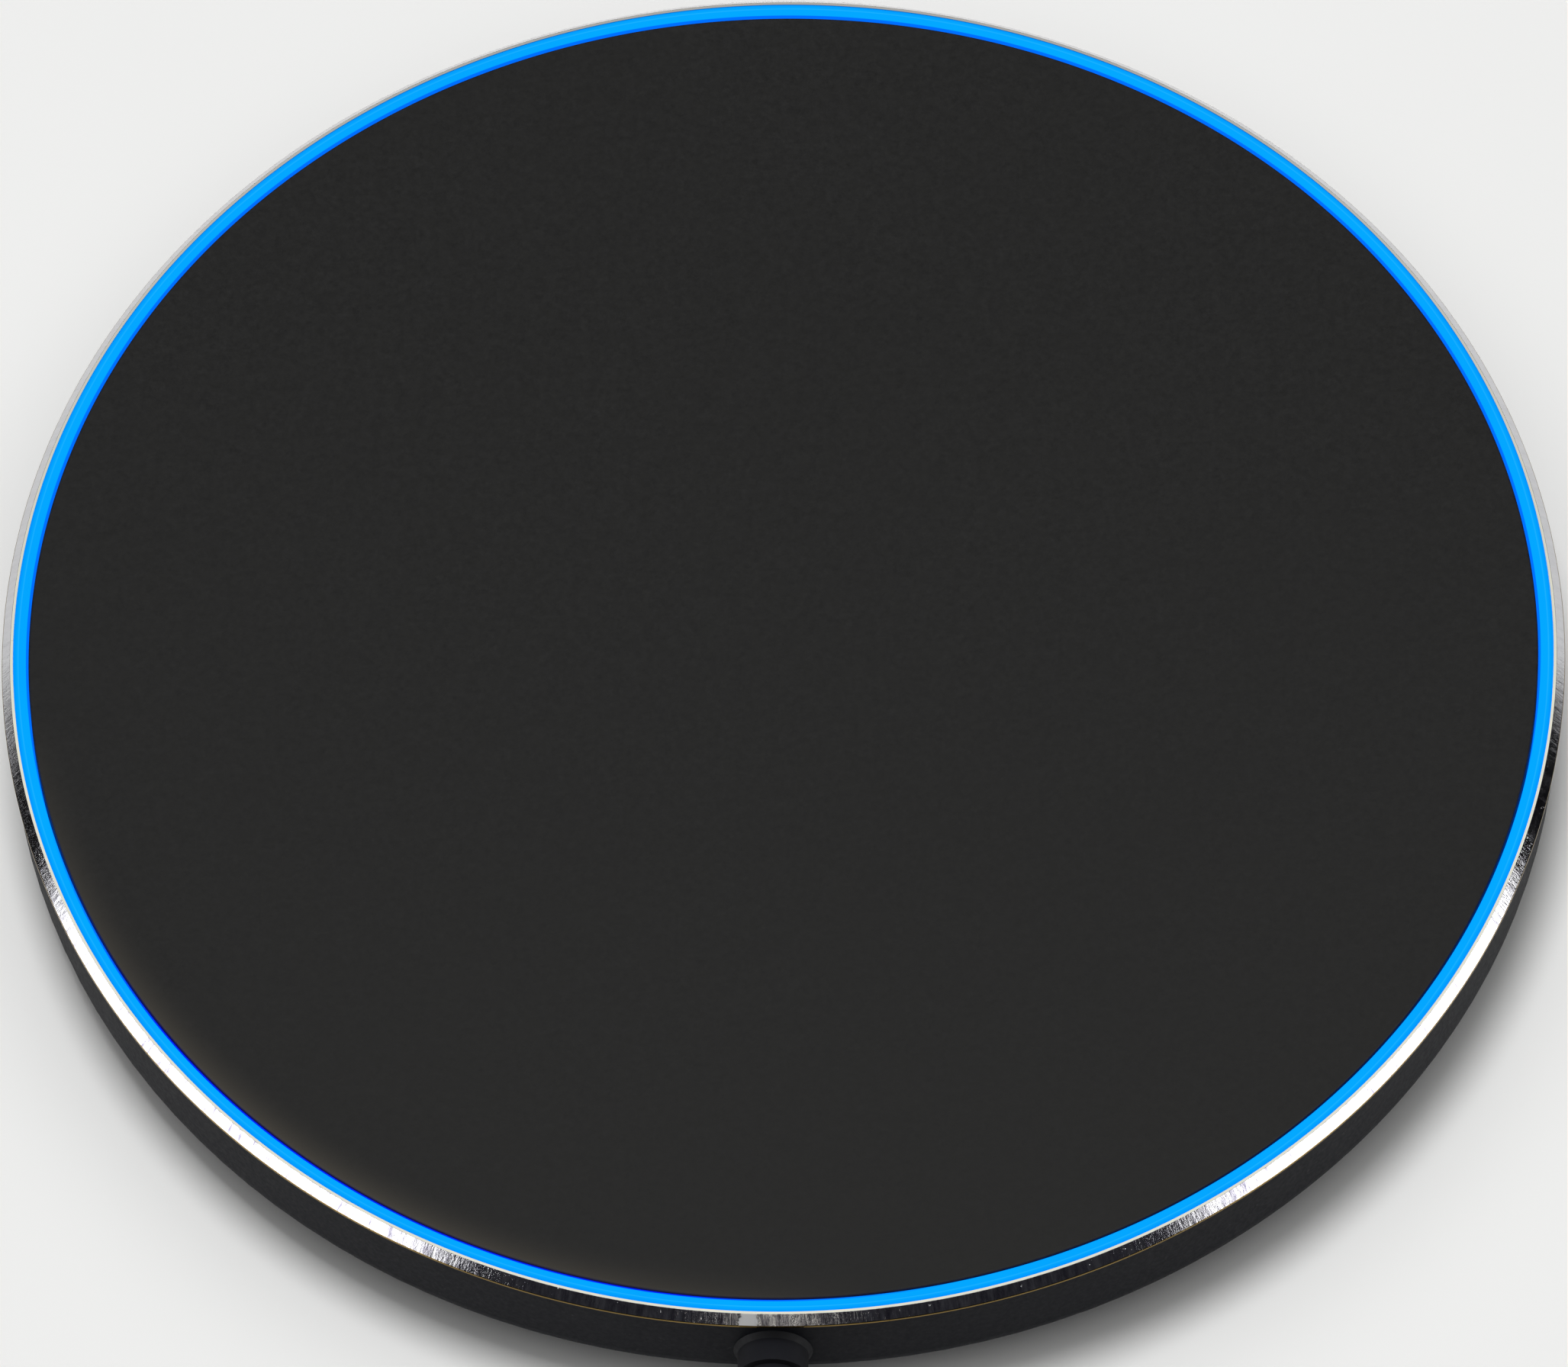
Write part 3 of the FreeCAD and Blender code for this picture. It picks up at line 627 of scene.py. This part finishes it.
def polished_band():
    """Plated and polished trim: a worn mirror with polishing streaks and an amber line at its foot. The
    streaks are partly painted dark reflections, and the cream lip is a painted highlight.
    """
    look = Look("polished_chrome", Metallic=1.0)
    radius, angle = look.radius_and_angle()
    combine = look.nodes.new("ShaderNodeCombineXYZ")
    look.feed(combine.inputs["X"], look.math("MULTIPLY", angle, 40 * MM))
    look.feed(combine.inputs["Y"], look.math("MULTIPLY", radius, 0.3))
    around = combine.outputs["Vector"]
    streaks = look.noise(0.28 * MM, detail=5, roughness=0.7, vector=around)
    waves = look.noise(1.6 * MM, detail=3, vector=around)
    worn = worn_places(look, angle, around)
    y = look.along("Y")
    # The painted dark streaks and the paler wear below are strongest at the front and fade towards the
    # back.
    near = look.span(y, 1, 0.12, -24 * MM, -2 * MM)
    far = look.span(y, 0, 1, -5 * MM, 36 * MM)
    # Partly painted reflection: along the polishing streaks, the mirror's own colour is darkened into a
    # dark reflection.
    painted_reflection_streaks = look.math("MULTIPLY", look.span(streaks, 0, 1, 0.38, 0.66), near)
    chrome = look.mix(painted_reflection_streaks, (0.66, 0.66, 0.68), (0.16, 0.15, 0.20))
    chrome = look.mix(look.math("MULTIPLY", worn, near), chrome, (0.88, 0.88, 0.88))
    # Painted highlight: the lip's cream colour is brightest at the front and turns grey towards the back.
    cream = look.mix(far, (0.95, 0.94, 0.80), (0.50, 0.49, 0.46))
    lip = look.span(radius, 1, 0, (LIP_R - 0.02) * MM, LIP_R * MM)
    foot = look.span(radius, 0, 1, (BAND_R - 0.035) * MM, (BAND_R - 0.02) * MM)
    look.set("Base Color", look.mix(foot, look.mix(lip, chrome, cream), (0.17, 0.11, 0.025)))
    shine = look.span(streaks, 0.03, 0.22, 0.45, 0.75)
    rough = look.math("MAXIMUM", shine, look.math("MULTIPLY", worn, 0.5))
    look.set("Roughness", look.math("MULTIPLY", rough, look.span(lip, 1, 0.4)))
    height = look.math("ADD", look.math("MULTIPLY", streaks, 0.8), look.math("MULTIPLY", waves, 0.2))
    look.bump(height, 0.022 * MM, strength=0.7)
    return look.material


def solder_mask():
    """A printed board: glossy green lacquer over a fine net of copper tracks."""
    look = Look("solder_mask", Roughness=0.35)
    bricks = look.nodes.new("ShaderNodeTexBrick")
    look.feed(bricks.inputs["Vector"], look.place)
    bricks.inputs["Scale"].default_value = 1 / (6 * MM)
    bricks.inputs["Mortar Size"].default_value = 0.035
    bricks.inputs["Mortar Smooth"].default_value = 0.2
    tracks = bricks.outputs["Fac"]
    vias = look.span(look.cells(2.1 * MM), 1, 0, 0.10, 0.14)
    green = look.mix(look.noise(5 * MM), (0.006, 0.070, 0.026), (0.010, 0.100, 0.036))
    lines = look.mix(tracks, green, (0.02, 0.19, 0.06))
    look.set("Base Color", look.mix(vias, lines, (0.62, 0.55, 0.36)))
    look.bump(look.math("ADD", tracks, vias), 0.02 * MM, strength=0.5)
    return look.material


def foam_pad():
    """Grey foam tape with open pores."""
    look = Look("foam_tape", Roughness=0.9)
    pores = look.cells(0.35 * MM)
    look.set("Base Color", look.ramp(pores, [(0.0, 0.06), (0.5, 0.22), (1.0, 0.28)]))
    look.bump(pores, 0.08 * MM)
    return look.material


def pouch_foil():
    """Crinkled silver laminate of the cell."""
    look = Look("pouch_foil", Metallic=0.9)
    crinkle = look.noise(1.8 * MM, detail=5, roughness=0.6)
    look.set("Base Color", look.mix(crinkle, (0.52, 0.53, 0.55), (0.72, 0.73, 0.74)))
    look.set("Roughness", look.span(crinkle, 0.28, 0.48, 0.3, 0.7))
    look.bump(crinkle, 0.05 * MM)
    return look.material


def lead_jacket():
    """The lead's matt jacket: smooth soft plastic with a slight sheen and a little dust."""
    look = Look("lead_jacket", Sheen_Weight=0.04, Specular_IOR_Level=0.3)
    skin = look.noise(0.35 * MM, detail=4)
    broad = look.noise(12 * MM, detail=2)
    dust = look.span(look.noise(0.28 * MM, detail=1), 0, 0.4, 0.76, 0.84)
    tone = look.mix(broad, (0.0072, 0.0075, 0.0095), (0.0108, 0.0110, 0.0132))
    look.set("Base Color", look.mix(dust, tone, (0.05, 0.05, 0.05)))
    look.set("Roughness", look.span(skin, 0.42, 0.60, 0.25, 0.75))
    look.bump(skin, 0.006 * MM)
    return look.material


def lit_lamp():
    """A small glowing blue lamp."""
    look = Look("blue_lamp", Roughness=0.3)
    glow = look.span(look.noise(0.5 * MM), 0.8, 1.2)
    look.set("Base Color", (0.55, 0.6, 0.7, 1))
    look.set("Emission Color", look.mix(look.noise(0.3 * MM), (0.05, 0.40, 1.0), (0.25, 0.65, 1.0)))
    look.set("Emission Strength", glow)
    return look.material


STEEL = (0.60, 0.60, 0.60)
GOLD = (0.86, 0.60, 0.24)
BRUSHED_X = (0.15, 1, 1)

LOOKS = {
    "lower_housing": moulded(
        "housing_black",
        (0.0042, 0.0047, 0.0078),
        0.58,
        variation=0.06,
        Specular_IOR_Level=0.10,
    ),
    "foot_ring": moulded("foot_rubber", (0.020, 0.020, 0.021), 0.8, grain=0.5 * MM, depth=0.03 * MM),
    "disc_adhesive": moulded("adhesive_film", (0.70, 0.69, 0.62), 0.2, Transmission_Weight=0.5),
    "button_carrier": moulded("carrier_white", (0.70, 0.70, 0.66), 0.42),
    "retaining_screws": metal("screw_zinc", STEEL, 0.3),
    "switch_base": moulded("switch_black", (0.018, 0.018, 0.019), 0.5, grain=0.12 * MM),
    "switch_cover": metal("cover_steel", STEEL, 0.28, brushed=BRUSHED_X),
    "switch_plunger": moulded("plunger_ivory", (0.66, 0.60, 0.46), 0.4, grain=0.12 * MM),
    "circuit_board": solder_mask(),
    "ring_lamps": lit_lamp(),
    "radio_shield": metal("shield_tin", (0.64, 0.63, 0.60), 0.35, brushed=BRUSHED_X),
    "radio_chip": moulded("chip_epoxy", (0.020, 0.020, 0.021), 0.62, grain=0.10 * MM),
    "chip_antenna": moulded("antenna_glaze", (0.68, 0.70, 0.66), 0.18, grain=0.4 * MM),
    "crystal": metal("crystal_lid", (0.68, 0.66, 0.60), 0.22),
    "power_inductor": moulded("ferrite", (0.075, 0.075, 0.082), 0.6, grain=0.14 * MM, depth=0.02 * MM),
    "output_capacitors": moulded("tantalum_resin", (0.70, 0.27, 0.03), 0.38, grain=0.2 * MM),
    "ceramic_capacitors": moulded("fired_ceramic", (0.40, 0.26, 0.14), 0.4, grain=0.1 * MM),
    "small_resistors": moulded("resistor_glaze", (0.020, 0.020, 0.023), 0.22, grain=0.1 * MM),
    "socket_shell": metal("socket_steel", (0.66, 0.65, 0.64), 0.22, brushed=(1, 0.12, 1)),
    "socket_insulator": moulded("socket_polymer", (0.022, 0.022, 0.023), 0.45, grain=0.12 * MM),
    "socket_contacts": metal("contact_gold", GOLD, 0.2, brushed=(1, 0.2, 1)),
    "battery_foam": foam_pad(),
    "battery_cell": pouch_foil(),
    "battery_plug": moulded("plug_nylon", (0.72, 0.70, 0.64), 0.4, grain=0.15 * MM),
    "battery_wires": moulded("wire_red", (0.42, 0.02, 0.02), 0.42, grain=0.3 * MM),
    "lead_boot": moulded("boot_rubber", (0.0072, 0.0076, 0.0104), 0.62, Specular_IOR_Level=0.16),
    "lead_wires": moulded("core_and_solder", (0.50, 0.12, 0.06), 0.38, grain=0.2 * MM),
    "coil_tie": moulded("tie_rubber", (0.018, 0.018, 0.019), 0.7, grain=0.3 * MM, depth=0.03 * MM),
    "plug_grip": moulded(
        "grip_black",
        (0.0085, 0.0088, 0.0100),
        0.45,
        grain=0.3 * MM,
        Specular_IOR_Level=0.3,
    ),
    "plug_sleeve": metal("plug_gold", GOLD, 0.14, brushed=(0.1, 1, 1)),
    "plug_bands": moulded("band_black", (0.014, 0.014, 0.014), 0.25, grain=0.2 * MM),
}

SHARED_LOOKS = {
    "board_screws": "retaining_screws",
    "radio_board": "circuit_board",
    "audio_codec": "radio_chip",
    "power_chip": "radio_chip",
    "lead_inner_end": "lead_boot",
    "plug_relief": "plug_grip",
    "plug_collar": "plug_sleeve",
    "plug_ring": "plug_sleeve",
    "plug_tip": "plug_sleeve",
}


def paint(piece, look):
    """Gives every slot of a piece one material."""
    if not piece.material_slots:
        piece.data.materials.append(look)
    for slot in piece.material_slots:
        slot.material = look


for node, look in LOOKS.items():
    paint(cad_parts[node], look)
for node, other in SHARED_LOOKS.items():
    paint(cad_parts[node], LOOKS[other])
paint(trim, polished_band())
paint(light, lit_ring())
paint(face, disc_face())
paint(lead, lead_jacket())
paint(springs, metal("spring_wire", (0.52, 0.52, 0.54), 0.3, brushed=BRUSHED_X))
paint(dome, metal("dome_foil", (0.66, 0.66, 0.66), 0.2))


# ---------------------------------------------------------------- floor and light


def add_floor():
    """A plain pale floor, wide enough to fill any view from above."""
    size = 3.0
    mesh = bpy.data.meshes.new("floor")
    corners = [(-size, -size, 0), (size, -size, 0), (size, size, 0), (-size, size, 0)]
    mesh.from_pydata(corners, [], [(0, 1, 2, 3)])
    floor = bpy.data.objects.new("floor", mesh)
    bpy.context.collection.objects.link(floor)
    floor.location.z = -0.02 * MM  # just clear of the underside
    look = Look("floor_pale", Roughness=0.6, Specular_IOR_Level=0.2)
    cloud = look.noise(60 * MM, detail=2)
    look.set("Base Color", look.mix(cloud, (0.86, 0.86, 0.855), (0.90, 0.90, 0.895)))
    below = look.nodes.new("ShaderNodeNewGeometry").outputs["Backfacing"]
    look.set("Alpha", look.math("SUBTRACT", 1.0, below))  # see-through from underneath
    mesh.materials.append(look.material)


def add_panel(name, bearing, height, width, tall, power, colour=(1, 1, 1)):
    """A soft panel for the trim to mirror. Its bearing is in degrees from the front, plus to the right."""
    distance = 0.6
    data = bpy.data.lights.new(name, "AREA")
    data.shape = "RECTANGLE"
    data.size = width
    data.size_y = tall
    data.energy = power
    data.color = colour
    panel = bpy.data.objects.new(name, data)
    bpy.context.collection.objects.link(panel)
    angle = math.radians(bearing)
    panel.location = (distance * math.sin(angle), -distance * math.cos(angle), height)
    aim(panel, (0, 0, height))
    panel.visible_camera = False
    panel.visible_diffuse = False


def add_dark_card(name, first, last):
    """A low black card round part of the puck, between two bearings, seen only in reflections."""
    reach = 90 * MM
    height = 9.5 * MM
    steps = 16
    vertices = []
    for i in range(steps + 1):
        angle = math.radians(first + (last - first) * i / steps)
        x = reach * math.sin(angle)
        y = -reach * math.cos(angle)
        vertices += [(x, y, 0), (x, y, height)]
    faces = [(2 * i, 2 * i + 2, 2 * i + 3, 2 * i + 1) for i in range(steps)]
    mesh = bpy.data.meshes.new(name)
    mesh.from_pydata(vertices, [], faces)
    card = bpy.data.objects.new(name, mesh)
    bpy.context.collection.objects.link(card)
    card.visible_camera = False
    card.visible_diffuse = False
    card.visible_shadow = False
    card.visible_transmission = False
    paint(card, moulded(name, (0.012, 0.012, 0.014), 0.9, Specular_IOR_Level=0.0))


def add_sun():
    """A wide soft light from nearly straight above, which lights the floor."""
    data = bpy.data.lights.new("overhead", "SUN")
    data.energy = 1.6
    data.angle = math.radians(20)
    sun = bpy.data.objects.new("overhead", data)
    bpy.context.collection.objects.link(sun)
    sun.location = (-0.06, 0.08, 1.0)
    aim(sun, (0, 0, 0))
    sun.visible_glossy = False


def light_world():
    """A white ceiling of light above a dim room. The camera itself sees a pale backdrop."""
    world = bpy.data.worlds.new("studio")
    bpy.context.scene.world = world
    world.use_nodes = True
    nodes = world.node_tree.nodes
    links = world.node_tree.links
    nodes.clear()
    place = nodes.new("ShaderNodeTexCoord")
    split = nodes.new("ShaderNodeSeparateXYZ")
    ramp = nodes.new("ShaderNodeValToRGB")
    ramp.color_ramp.interpolation = "EASE"
    room, ceiling = ramp.color_ramp.elements
    room.position = 0.50
    room.color = (0.035, 0.035, 0.040, 1)
    ceiling.position = 0.80
    ceiling.color = (0.80, 0.80, 0.79, 1)
    lit = nodes.new("ShaderNodeBackground")
    seen = nodes.new("ShaderNodeBackground")
    seen.inputs["Color"].default_value = (0.84, 0.84, 0.84, 1)
    choice = nodes.new("ShaderNodeMixShader")
    path = nodes.new("ShaderNodeLightPath")
    output = nodes.new("ShaderNodeOutputWorld")
    links.new(place.outputs["Generated"], split.inputs[0])
    links.new(split.outputs["Z"], ramp.inputs["Fac"])
    links.new(ramp.outputs["Color"], lit.inputs["Color"])
    links.new(path.outputs["Is Camera Ray"], choice.inputs["Fac"])
    links.new(lit.outputs["Background"], choice.inputs[1])
    links.new(seen.outputs["Background"], choice.inputs[2])
    links.new(choice.outputs["Shader"], output.inputs["Surface"])


add_floor()
light_world()
add_sun()
add_panel("panel_left", bearing=-69, height=0.18, width=0.64, tall=0.33, power=2.6)
add_panel("panel_right", bearing=73, height=0.18, width=0.50, tall=0.33, power=2.1)
add_panel(
    "panel_front",
    bearing=-0.8,
    height=0.245,
    width=0.021,
    tall=0.08,
    power=0.012,
    colour=(1, 0.95, 0.85),
)
add_dark_card("dark_card_left", -105, -84)
add_dark_card("dark_card_right", 84, 105)
bpy.context.scene.view_settings.view_transform = "Standard"
